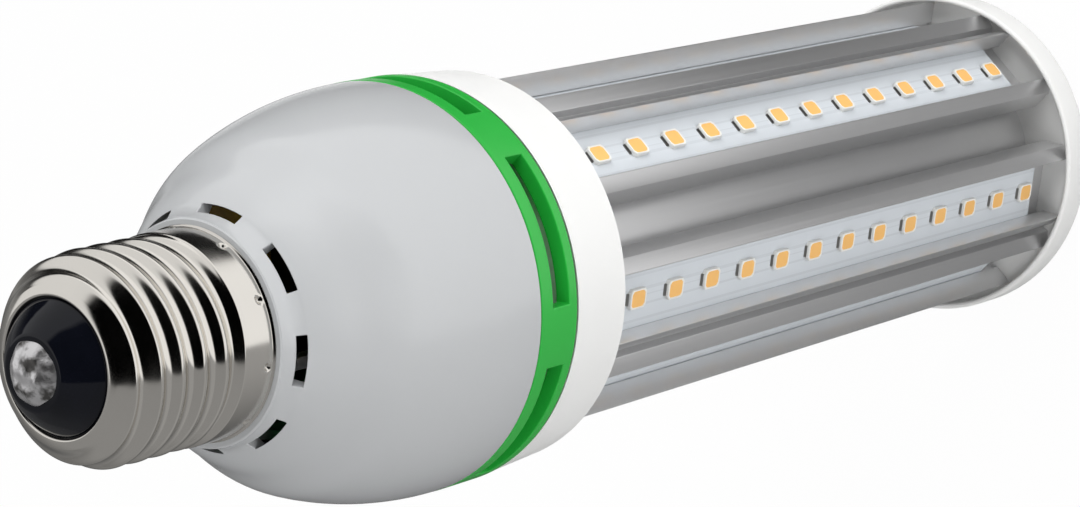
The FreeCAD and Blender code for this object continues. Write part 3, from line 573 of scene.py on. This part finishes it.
def build_screw_shell(sizes):
    """Rolled shell: radius = middle + half depth * wave(2 pi (z - z0) / pitch - angle).

    The wave is cos(a) + 0.12 cos(2 a), and the thread climbs once a turn, right-handed.
    On the shoulder its turns close up by lead-in * (1 - depth / closing length) ^ 2.58.
    Punched marks push the skirt in by depth * exp(-(distance / size) ^ 4).
    """
    rows, share = thread_rows(sizes)
    angles = even_angles(360)
    radius = np.repeat(rows[:, :1], len(angles), axis=1)
    height = np.repeat(rows[:, 1:], len(angles), axis=1)
    closing_length = 0.008
    close = sizes.lead_in * np.clip(1 - (CAP_TOP - height) / closing_length, 0, 1) ** 2.58
    phase = FULL_TURN * (height + close - CAP_FOOT) / sizes.thread_pitch
    phase = phase - angles[None] - sizes.thread_phase
    wave = np.cos(phase) + 0.12 * np.cos(2 * phase)
    depth = (sizes.thread_crest - sizes.thread_root) / 2
    radius = radius + depth * share[:, None] * wave / 1.12
    first_dimple = math.radians(-46.2)
    half_wide, half_high, mark_height = 0.00040, 0.00046, 0.0011
    pitch = FULL_TURN / sizes.dimples
    around = (angles[None] - first_dimple + pitch / 2) % pitch - pitch / 2
    along = height - CAP_FOOT - mark_height
    apart = (around * sizes.skirt_radius / half_wide) ** 2 + (along / half_high) ** 2
    on_skirt = ((rows[:, 1] < CAP_FOOT + sizes.skirt_top)
                & (rows[:, 0] > sizes.skirt_radius - 0.0002))
    radius = radius - sizes.dimple_depth * np.exp(-apart * apart) * on_skirt[:, None]
    points = np.stack([
        radius * np.cos(angles)[None], radius * np.sin(angles)[None], height], -1)
    faces = [grid_quads(len(rows), len(angles), True, True)]
    make_piece("screw_shell", points.reshape(-1, 3), faces, ["nickel"], 50.0)


def build_glass(sizes):
    """Black glass turned from a section that swells between the mouth and the contact.

    On the slope height = straight line + swell * sin(pi * share of the way).
    """
    mouth = sizes.mouth_radius - 0.00015
    stem_hole, rebate, contact_edge, swell = 0.0013, 0.0088, 0.0046, 0.00035
    share = np.linspace(0, 1, 24)
    slope = np.stack([
        mouth + (contact_edge - mouth) * share,
        CAP_TOP - 0.0003 + (GLASS_TOP - CAP_TOP + 0.0003) * share
        + swell * np.sin(math.pi * share)], -1)
    section = np.concatenate([
        [[stem_hole, CAP_TOP - 0.0035], [rebate, CAP_TOP - 0.0035], [rebate, CAP_TOP - 0.0006],
         [mouth, CAP_TOP - 0.0006]],
        slope,
        [[0.0043, GLASS_TOP], [stem_hole, GLASS_TOP - 0.0001]]])
    turned_piece("glass_insulator", section, 128, ["glass"], 40.0)


def build_contact():
    """Solder blob: height = rise * (0.86 (1 - u^3) + 0.06 * lumps that fade at the rim).

    The lumps are sums of sines of the place, so they are the same on each run.
    """
    columns = 96
    angles = even_angles(columns)
    share = np.linspace(1, 0.03, 26)
    radius = 0.0040 * share
    across = radius[:, None] * np.cos(angles)[None]
    along = radius[:, None] * np.sin(angles)[None]
    lumps = (np.sin(1900 * across + 0.6) * np.cos(1700 * along - 0.4)
             + 0.6 * np.sin(3100 * along + 1.3 + 900 * across)
             + 0.5 * np.cos(2600 * across - 1700 * along))
    fade = (1 - share ** 6)[:, None]
    rise = CONTACT_TOP - GLASS_TOP
    height = GLASS_TOP + rise * (0.86 * (1 - share[:, None] ** 3) + 0.06 * fade * lumps)
    height = np.minimum(height, CONTACT_TOP)
    wobble = 1 + 0.03 * np.sin(3 * angles + 1.1) + 0.02 * np.sin(7 * angles)
    wobble = 1 - (1.05 - wobble)[None] * (share[:, None] > 0.5)
    top = np.stack([across * wobble, along * wobble, height], -1).reshape(-1, 3)
    stem_foot, under = GLASS_TOP - 0.005, GLASS_TOP - 0.0002
    stem = turn_section(np.array([[0.0011, stem_foot], [0.0011, under], [0.0039, under]]), angles)
    points = np.concatenate([
        stem.reshape(-1, 3), top, [[0, 0, stem_foot]], [[0, 0, height[-1].mean()]]])
    faces = disc_faces(len(stem) + len(share), columns, True, True)
    make_piece("centre_contact", points, faces, ["solder"], 60.0)


def build_housing(sizes):
    """Dome and neck: two tangent arcs outside and inside, with windows at the neck's root.

    The crown arc springs upright from the ring. The shoulder arc's centre lies on the line from
    the crown arc's centre to their joint. Outside, the shoulder is drawn in by
    flat * exp(-(distance from its height / reach) ^ 2).
    """
    reach = box_reach("driver_housing")
    crown = (reach - sizes.crown_arc, RING_TOP)
    lean = math.asin(sizes.crown_rise / sizes.crown_arc)
    joint = (crown[0] + sizes.crown_arc * math.cos(lean), RING_TOP + sizes.crown_rise)
    shoulder = (joint[0] - sizes.shoulder_arc * math.cos(lean),
                joint[1] - sizes.shoulder_arc * math.sin(lean))
    inside = sizes.shoulder_arc - sizes.dome_wall

    def lean_at(radius, reach_of_arc):
        return math.acos((radius - shoulder[0]) / reach_of_arc)

    dome_top = shoulder[1] + sizes.shoulder_arc * math.sin(
        lean_at(sizes.neck_foot, sizes.shoulder_arc))
    spigot = sizes.skirt_radius - 0.0008
    bore, window_top = 0.0106, 0.01465
    foot = [[reach - 0.0002, RING_TOP]]
    outer = [
        arc(crown, sizes.crown_arc, 0.004, lean, 26)[:-1],
        arc(shoulder, sizes.shoulder_arc, lean, lean_at(sizes.window_outer, sizes.shoulder_arc),
            24),
        [[sizes.neck_foot - 0.0001, dome_top + 0.00005], [window_top, dome_top + 0.0009],
         [sizes.window_inner, CAP_FOOT - 0.0008]],
    ]
    first_out = len(foot) + len(outer[0]) + len(outer[1]) - 1
    neck = [
        [sizes.window_inner - 0.00003, CAP_FOOT - 0.0005],
        [sizes.neck_radius + 0.00004, CAP_FOOT - 0.0002],
        [sizes.neck_radius - 0.00015, CAP_FOOT - 0.00003],
        [spigot, CAP_FOOT], [spigot, SPIGOT_TOP], [bore, SPIGOT_TOP],
    ]
    turns = [lean_at(radius, inside) for radius in (bore, sizes.window_under, sizes.window_outer)]
    inner = [arc(shoulder, inside, start, end, count)[:-1]
             for start, end, count in zip(turns, [*turns[1:], lean], (5, 3, 12))]
    inner.append(arc(crown, sizes.crown_arc - sizes.dome_wall, lean, 0.0, 12))
    section = np.concatenate([foot, *outer, neck, *inner])
    flat_reach = 0.003
    apart = (section[:, 1] - RING_TOP - sizes.flat_height) / flat_reach
    on_dome = np.arange(len(section)) < first_out
    section[:, 0] -= sizes.shoulder_flat * np.exp(-apart * apart) * on_dome
    first_in = first_out + 4 + len(neck) + len(inner[0])
    angles, mask = broken_angles(sizes.window_start, sizes.window_sweep, 8, inside=8, between=12)
    points, faces = pierced_ring(section, (first_out, first_out + 2), (first_in, first_in + 2),
                                 angles, mask)
    piece = make_piece("driver_housing", points, faces, ["dome"], 35.0, tidy=True)
    soften(piece, 0.00015)


def build_vent_ring(sizes):
    """Slotted green ring: an outer wall, a top flange and a sleeve in one closed section."""
    reach = box_reach("vent_ring")
    wall = reach - 0.0022
    sleeve, bore = 0.0228, 0.0217
    low = COLLAR_TOP + sizes.slot_low
    high = low + sizes.slot_high
    foot = COLLAR_TOP + 0.0004
    web = RING_TOP - 0.0016
    section = np.array([
        [reach, foot], [reach, low], [reach, high], [reach, RING_TOP],
        [bore, RING_TOP], [bore, COLLAR_TOP], [sleeve, COLLAR_TOP],
        [sleeve, web], [wall, web], [wall, high], [wall, low], [wall, foot],
    ])
    angles, mask = broken_angles(sizes.slot_start, sizes.slot_sweep, 6, inside=16, between=8)
    points, faces = pierced_ring(section, (1, 2), (9, 10), angles, mask)
    piece = make_piece("vent_ring", points, faces, ["green"], 35.0, tidy=True)
    soften(piece, 0.00018)


def build_collar():
    """Tapered skirt with its bulkhead and the groove under the ring, a closed turned section."""
    reach = box_reach("collar")
    foot = reach - 0.0006
    wall = 0.0015
    hole = 0.007
    lip, groove, low = reach - 0.00013, reach - 0.0012, COLLAR_TOP - 0.0009
    section = np.array([
        [hole, SINK_TOP], [reach - wall, SINK_TOP], [foot - wall, COLLAR_FOOT],
        [foot, COLLAR_FOOT], [reach, COLLAR_TOP], [lip, COLLAR_TOP], [lip, low], [groove, low],
        [groove, COLLAR_TOP], [hole, COLLAR_TOP]])
    piece = turned_piece("collar", section, 160, ["collar"], 30.0, tidy=True)
    soften(piece, 0.00006, 1)


def channel_outline():
    """A channel's outline from the web to the slit: place across, height, corner radius."""
    return np.array([
        [-2.6, 17.9, 0.3], [-5.75, 17.9, 0.25], [-6.45, 18.6, 0.25], [-6.45, 22.1, 0.12],
        [-4.7, 23.95, 0.12], [-4.7, 20.42, 0.0], [-5.32, 20.42, 0.0], [-5.32, 19.1, 0.0],
        [5.32, 19.1, 0.0], [5.32, 20.42, 0.0], [4.7, 20.42, 0.0], [4.7, 23.95, 0.12],
        [6.45, 22.1, 0.12],
    ]) * 0.001


def build_heat_sink(sizes):
    """Extrusion: the section's outline, with rounded corners, carried along the axis.

    A channel's outline is turned to its face. The pair's second channel is the first one mirrored
    in the slit, and the pair is turned four times. Arcs of the core fill the wide gaps.
    """
    core, bore, bore_sides = 0.0162, 0.0136, 96
    half_turn = sizes.channel_turn / 2
    one = channel_outline()
    web = one[0, 0]
    root = [[web, math.sqrt(core * core - web * web), 0.0004]]
    wall = one[1, 0]
    slit = [[-wall, -wall / math.tan(half_turn), 0.00025]]
    near = np.concatenate([root, one, slit])
    first = np.stack([*spun(near[:, 1], near[:, 0], -half_turn), near[:, 2]], -1)
    pair = np.concatenate([first, first[-2::-1] * [1, -1, 1]])
    start = math.atan2(pair[-1, 1], pair[-1, 0])
    gap = FULL_TURN / 4 - 2 * start
    round_core = arc((0, 0), core, start, start + gap, 14)[1:-1]
    quarter = np.concatenate([pair, lifted(round_core, 0.0)])
    corners = np.concatenate([
        np.stack([*spun(quarter[:, 0], quarter[:, 1], spin), quarter[:, 2]], -1)
        for spin in sizes.pair_start + np.arange(4) * FULL_TURN / 4])
    outline = rounded(corners[:, :2], corners[:, 2])
    count = len(outline)
    hole = arc((0, 0), bore, FULL_TURN, FULL_TURN / bore_sides, bore_sides)
    points = np.concatenate([lifted(ring, height) for ring in (outline, hole)
                             for height in (SINK_FOOT, SINK_TOP)])
    nearest = int(np.argmin(np.linalg.norm(outline - hole[-1] * core / bore, axis=1)))
    loop = np.roll(np.arange(count), -nearest)
    inner = 2 * count + np.roll(np.arange(bore_sides), 1)
    keyhole = np.concatenate([loop, loop[:1], inner, inner[:1]])
    top = np.where(keyhole < count, keyhole + count, keyhole + bore_sides)
    faces = [grid_quads(2, count, False, True), grid_quads(2, bore_sides, False, True) + 2 * count,
             keyhole[::-1][None], top[None]]
    make_piece("heat_sink", points, faces, ["sink"], 28.0)


def box_ring(angles, half_x, half_y, power):
    """Rounded rectangle: r(a) = ((|cos a| / x) ^ n + (|sin a| / y) ^ n) ^ (-1 / n)."""
    c, s = np.cos(angles), np.sin(angles)
    reach = ((np.abs(c) / half_x) ** power + (np.abs(s) / half_y) ** power) ** (-1 / power)
    return np.stack([reach * c, reach * s], -1)


def diode_mesh():
    """One diode as rings from its foot to the middle of its window: points and faces by finish.

    x runs across the board, y along it and z up from it. A ring is half its width, half its
    length, the power of its corners and its height, in millimetres.
    """
    columns = 20
    angles = even_angles(columns) + FULL_TURN / columns / 2
    rings = [
        (1.40, 1.75, 9, 0.0), (1.40, 1.75, 9, 0.58), (1.33, 1.68, 9, 0.68),
        (1.17, 1.50, 6, 0.68), (1.13, 1.46, 6, 0.61), (0.60, 0.80, 4, 0.63)]
    levels = [lifted(box_ring(angles, x, y, power), height) for x, y, power, height in rings]
    points = np.concatenate([*levels, [[0, 0, 0.635]]]) * 0.001
    quads, fan = disc_faces(len(rings), columns, pole_last=True)
    in_window = np.arange(len(quads)) >= 4 * columns
    return points, quads, fan, in_window


def terminal_mesh():
    """Two solder fillets, one at each end of a diode: low wedges of eight points."""
    one = np.array([
        [-0.85, 0.85, 0.85, -0.85] * 2, [1.72, 1.72, 2.05, 2.05, 1.72, 1.72, 1.80, 1.80],
        [0.0, 0.0, 0.0, 0.0, 0.34, 0.34, 0.20, 0.20]]).T * 0.001
    other = one * [1, -1, 1]
    faces = np.array([[0, 3, 2, 1], [4, 5, 6, 7], [0, 1, 5, 4], [1, 2, 6, 5], [2, 3, 7, 6],
                      [3, 0, 4, 7]])
    return np.concatenate([one, other]), np.concatenate([faces, faces[:, ::-1] + 8])


def build_diodes(sizes):
    """Rows of diodes: one diode's points, moved along the board and turned to its face."""
    deck, first_step, off_middle = 0.0203, 0.00175, 0.0005
    points, quads, fan, in_window = diode_mesh()
    pads, pad_faces = terminal_mesh()
    whole = np.concatenate([points, pads])
    for number in range(1, 9):
        name = "led_row_%d" % number
        low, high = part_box(name)
        pair = (number - 1) // 2
        side = -1 if number % 2 else 1
        turn = sizes.pair_start + pair * FULL_TURN / 4 + side * sizes.channel_turn / 2
        count = int(round((high.z - low.z) / sizes.led_pitch)) + 1
        steps = low.z + first_step + np.arange(count) * sizes.led_pitch
        east, north = spun(deck + whole[:, 2], whole[:, 0] - off_middle * side, turn)
        placed = np.stack([
            np.tile(east, count), np.tile(north, count),
            (steps[:, None] + whole[None, :, 1]).ravel()], -1)
        offset = (np.arange(count) * len(whole))[:, None, None]
        faces = [(part + offset).reshape(-1, part.shape[1])
                 for part in (quads[:, ::-1], fan[:, ::-1], pad_faces + len(points))]
        piece = make_piece(name, placed, faces,
                           ["package", "phosphor", "terminal"])
        index = np.concatenate([
            np.tile(in_window, count), np.ones(len(faces[1])), np.full(len(faces[2]), 2)])
        piece.data.polygons.foreach_set("material_index", index.astype(np.int32))


def build_end_cap():
    """End cap's wall and floor: a turned section with a rounded edge and a rounded lip."""
    reach = box_reach("end_cap")
    wall, round_edge, pole, columns = 0.0009, 0.0014, 0.001, 160
    lip = (reach - wall / 2, box_high("end_cap") - wall / 2)
    section = np.concatenate([
        [[pole, 0.0]], arc((reach - round_edge, round_edge), round_edge, -math.pi / 2, 0, 8),
        arc(lip, wall / 2, 0, math.pi, 9), [[reach - wall, SINK_FOOT], [pole, SINK_FOOT]]])
    skin = turn_section(section, even_angles(columns)).reshape(-1, 3)
    points = np.concatenate([skin, [[0, 0, 0], [0, 0, SINK_FOOT]]])
    make_piece("end_cap", points, disc_faces(len(section), columns, True, True),
               ["end"], 35.0)


CARRIED = {
    "end_screws": "steel", "collar_screws": "steel", "driver_board": "driver_board",
    "driver_panel": "driver_board", "transformer_core": "tape", "transformer_winding": "black",
    "bulk_capacitor": "sleeve", "output_capacitor": "sleeve", "choke": "copper",
    "film_capacitor": "film", "bridge_rectifier": "black", "fuse": "black",
    "live_wire": "sheath", "neutral_wire": "sheath", "led_leads": "sheath",
    "board_links": "sheath", **{"led_board_%d" % number: "board" for number in range(1, 9)},
}


def finish_carried():
    """Give the CAD nodes that stay in view their finishes."""
    for name, kind in CARRIED.items():
        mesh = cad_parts[name].data
        mesh.materials.clear()
        mesh.materials.append(FINISH[kind])


# Studio


def dot_with(tree, way, axis):
    """A direction's share along an axis."""
    return node(tree, "ShaderNodeVectorMath", {0: way, 1: tuple(axis)},
                operation="DOT_PRODUCT").outputs["Value"]


def joined(tree, operation, one, other):
    """Two sockets, or a socket and a number, put through a Math node."""
    return node(tree, "ShaderNodeMath", {0: one, 1: other}, operation=operation).outputs[0]


def mixed(tree, share, one, other):
    """One shader, with a share of it swapped for the other."""
    return node(tree, "ShaderNodeMixShader", {"Fac": share, 1: one, 2: other}).outputs[0]


def studio_glow(tree, way, settings):
    """What polished metal finds in the studio in a direction: a strength from 0 to 1.

    away and above are the direction's shares along the studio's own axes. A white tent stands
    over and beside the bulb, black cloth hangs overhead behind it and round the camera, a white
    wall stands far behind, and the table is grey.
    """
    away = dot_with(tree, way, settings.camera_way)
    above = dot_with(tree, way, settings.camera_up)
    tent = joined(tree, "MULTIPLY", remap(tree, away, -0.64, -0.54, 0.0, 1.0),
                  remap(tree, away, 0.34, 0.40, 1.0, 0.0))
    cloth = joined(tree, "MULTIPLY", remap(tree, away, 0.3, 0.45, 0.0, 1.0),
                   remap(tree, above, 0.12, 0.5, 0.30, 0.01))
    behind = remap(tree, away, 0.84, 0.95, 0.0, 0.8)
    upper = joined(tree, "ADD", tent, joined(tree, "MAXIMUM", cloth, behind))
    table = remap(tree, away, 0.2, 0.9, 0.36, 0.10)
    tilt = joined(tree, "SUBTRACT", above, joined(tree, "MULTIPLY", away, 0.42))
    over = remap(tree, tilt, -0.155, -0.115, 0.0, 1.0)
    return node(tree, "ShaderNodeMix", {"Factor": over, "A": table, "B": upper},
                data_type="FLOAT").outputs["Result"]


def white_floor(settings):
    """White floor: plain white to the camera, the studio's glow to reflections.

    Part of its shading stays, so that the bulb's shadow is kept.
    """
    material, tree, shader = start_finish("studio_floor", (0.8, 0.8, 0.8), 0.9)
    here = node(tree, "ShaderNodeTexCoord", {}).outputs["Object"]
    from_cap = node(tree, "ShaderNodeVectorMath", {0: here, 1: (0, 0, CAP_FOOT)},
                    operation="SUBTRACT").outputs["Vector"]
    way = node(tree, "ShaderNodeVectorMath", {0: from_cap},
               operation="NORMALIZE").outputs["Vector"]
    path = node(tree, "ShaderNodeLightPath", {}).outputs
    white = node(tree, "ShaderNodeEmission", {}).outputs[0]
    share = joined(tree, "MULTIPLY", path["Is Camera Ray"], 1 - settings.floor_shadow)
    seen = mixed(tree, share, shader.outputs[0], white)
    glow = node(tree, "ShaderNodeEmission", {"Strength": studio_glow(tree, way, settings)})
    mirrored = mixed(tree, path["Is Glossy Ray"], seen, glow.outputs[0])
    fill(tree, tree.nodes["Material Output"], {"Surface": mirrored})
    return material


def build_world(settings):
    """Soft light from behind and above the bulb, white behind it, and the glow for reflections."""
    world = bpy.data.worlds.new("studio")
    bpy.context.scene.world = world
    world.use_nodes = True
    tree = world.node_tree
    way = node(tree, "ShaderNodeTexCoord", {}).outputs["Generated"]
    away = remap(tree, dot_with(tree, way, settings.camera_way), -0.9, 0.9, 0.4, 1.5)
    above = remap(tree, dot_with(tree, way, settings.camera_up), -0.6, 0.6, 0.6, 1.0)
    soft = joined(tree, "MULTIPLY", away, above)
    room = tree.nodes["Background"]
    fill(tree, room, {"Color": (1, 1, 1, 1),
                      "Strength": joined(tree, "MULTIPLY", soft, settings.room_light)})
    path = node(tree, "ShaderNodeLightPath", {}).outputs
    glow = node(tree, "ShaderNodeBackground", {"Strength": studio_glow(tree, way, settings)})
    mirrored = mixed(tree, path["Is Glossy Ray"], room.outputs[0], glow.outputs[0])
    white = node(tree, "ShaderNodeBackground", {}).outputs[0]
    share = joined(tree, "MAXIMUM", path["Is Camera Ray"], path["Is Transmission Ray"])
    fill(tree, tree.nodes["World Output"], {"Surface": mixed(tree, share, mirrored, white)})


def aim(thing, place, target, up=(0, 0, 1)):
    """Stand a lamp at a place and turn it to a target."""
    way = (Vector(target) - Vector(place)).normalized()
    side = way.cross(Vector(up)).normalized()
    top = side.cross(way)
    turn = Matrix((side, top, -way)).transposed().to_4x4()
    thing.matrix_world = Matrix.Translation(place) @ turn


def build_lamps(settings):
    """Soft lamps turned to the bulb's middle, which shine but aren't mirrored."""
    middle = Vector((0, 0, 0.5 * CONTACT_TOP))
    up = Vector(settings.camera_up)
    towards = -Vector(settings.camera_way)
    for name, place, size in (
            ("key", middle + 0.75 * up + 0.45 * towards + Vector((0, 0, 0.15)), (0.7, 0.5)),
            ("fill", middle - 0.6 * up + 0.6 * towards + Vector((0, 0, 0.3)), (0.6, 0.4)),
            ("side", (-0.2, -0.85, 0.32), (0.5, 0.4)), ("rim", (0.5, 0.55, 0.6), (0.5, 0.4)),
            ("top", (-0.1, -0.1, 0.95), (0.4, 0.4))):
        data = bpy.data.lights.new(name + "_lamp", "AREA")
        data.shape = "RECTANGLE"
        data.size, data.size_y = size
        data.energy = getattr(settings, name + "_power")
        lamp = stand(name + "_lamp", data)
        lamp.visible_glossy = False
        aim(lamp, place, middle)


def build_stage(settings):
    """Floor, lamps and the camera at the photograph's place."""
    half = 3.0
    mesh = bpy.data.meshes.new("studio_floor")
    mesh.from_pydata([(-half, -half, 0), (half, -half, 0), (half, half, 0), (-half, half, 0)], [],
                     [(0, 1, 2, 3)])
    mesh.materials.append(white_floor(settings))
    floor = stand("studio_floor", mesh)
    build_world(settings)
    build_lamps(settings)
    data = bpy.data.cameras.new("camera")
    data.sensor_fit = "HORIZONTAL"
    data.sensor_width = 36.0
    data.lens = settings.lens
    data.clip_start = 0.01
    camera = stand("camera", data)
    place = Vector(settings.camera_place)
    aim(camera, place, place + Vector(settings.camera_way), settings.camera_up)
    bpy.context.scene.camera = camera
    bpy.context.scene.view_settings.view_transform = "Standard"


# Operators


class BULB_OT_finishes(Operator):
    """Make the finishes of all pieces"""

    bl_idname = "bulb.finishes"
    bl_label = "Finishes"

    def execute(self, context):
        FINISH.update(make_finishes(context.scene.bulb_colours))
        return {"FINISHED"}


class BULB_OT_cap(Operator):
    """Build the screw shell, the glass insulator and the centre contact"""

    bl_idname = "bulb.cap"
    bl_label = "Screw cap"

    def execute(self, context):
        build_screw_shell(context.scene.bulb_sizes)
        build_glass(context.scene.bulb_sizes)
        build_contact()
        return {"FINISHED"}


class BULB_OT_housing(Operator):
    """Build the driver housing with its vent windows"""

    bl_idname = "bulb.housing"
    bl_label = "Driver housing"

    def execute(self, context):
        build_housing(context.scene.bulb_sizes)
        return {"FINISHED"}


class BULB_OT_rings(Operator):
    """Build the green vent ring and the white collar"""

    bl_idname = "bulb.rings"
    bl_label = "Vent ring and collar"

    def execute(self, context):
        build_vent_ring(context.scene.bulb_sizes)
        build_collar()
        return {"FINISHED"}


class BULB_OT_heat_sink(Operator):
    """Build the extruded heat sink"""

    bl_idname = "bulb.heat_sink"
    bl_label = "Heat sink"

    def execute(self, context):
        build_heat_sink(context.scene.bulb_sizes)
        return {"FINISHED"}


class BULB_OT_diodes(Operator):
    """Build the rows of diodes"""

    bl_idname = "bulb.diodes"
    bl_label = "Diodes"

    def execute(self, context):
        build_diodes(context.scene.bulb_sizes)
        return {"FINISHED"}


class BULB_OT_end_cap(Operator):
    """Build the end cap"""

    bl_idname = "bulb.end_cap"
    bl_label = "End cap"

    def execute(self, context):
        build_end_cap()
        return {"FINISHED"}


class BULB_OT_carried(Operator):
    """Finish the CAD pieces that stay in view: boards, screws, wires and the driver's parts"""

    bl_idname = "bulb.carried"
    bl_label = "Boards, screws and driver parts"

    def execute(self, context):
        finish_carried()
        return {"FINISHED"}


class BULB_OT_stage(Operator):
    """Build the floor, the lamps and the camera"""

    bl_idname = "bulb.stage"
    bl_label = "Studio"

    def execute(self, context):
        build_stage(context.scene.bulb_studio)
        return {"FINISHED"}


OPERATORS = (
    BULB_OT_finishes, BULB_OT_cap, BULB_OT_housing, BULB_OT_rings, BULB_OT_heat_sink,
    BULB_OT_diodes, BULB_OT_end_cap, BULB_OT_carried, BULB_OT_stage,
)


class BULB_PT_panel(Panel):
    """Sidebar list of the bulb's steps and settings"""

    bl_idname = "BULB_PT_panel"
    bl_label = "Corn bulb"
    bl_space_type = "VIEW_3D"
    bl_region_type = "UI"
    bl_category = "Corn bulb"

    def draw(self, context):
        for step in OPERATORS:
            self.layout.operator(step.bl_idname)
        for name in GROUPS:
            group = getattr(context.scene, name)
            box = self.layout.box()
            for key in group.bl_rna.properties.keys():
                if key not in ("rna_type", "name"):
                    box.prop(group, key)


GROUPS = {"bulb_sizes": BulbSizes, "bulb_colours": BulbColours, "bulb_studio": StudioSettings}
CLASSES = (*GROUPS.values(), *OPERATORS, BULB_PT_panel)


def register():
    for each in CLASSES:
        bpy.utils.register_class(each)
    for name, group in GROUPS.items():
        setattr(bpy.types.Scene, name, PointerProperty(type=group))


def unregister():
    for name in GROUPS:
        delattr(bpy.types.Scene, name)
    for each in reversed(CLASSES):
        bpy.utils.unregister_class(each)


def main():
    """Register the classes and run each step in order."""
    register()
    bpy.ops.bulb.finishes()
    bpy.ops.bulb.cap()
    bpy.ops.bulb.housing()
    bpy.ops.bulb.rings()
    bpy.ops.bulb.heat_sink()
    bpy.ops.bulb.diodes()
    bpy.ops.bulb.end_cap()
    bpy.ops.bulb.carried()
    bpy.ops.bulb.stage()


if __name__ == "__main__":
    main()
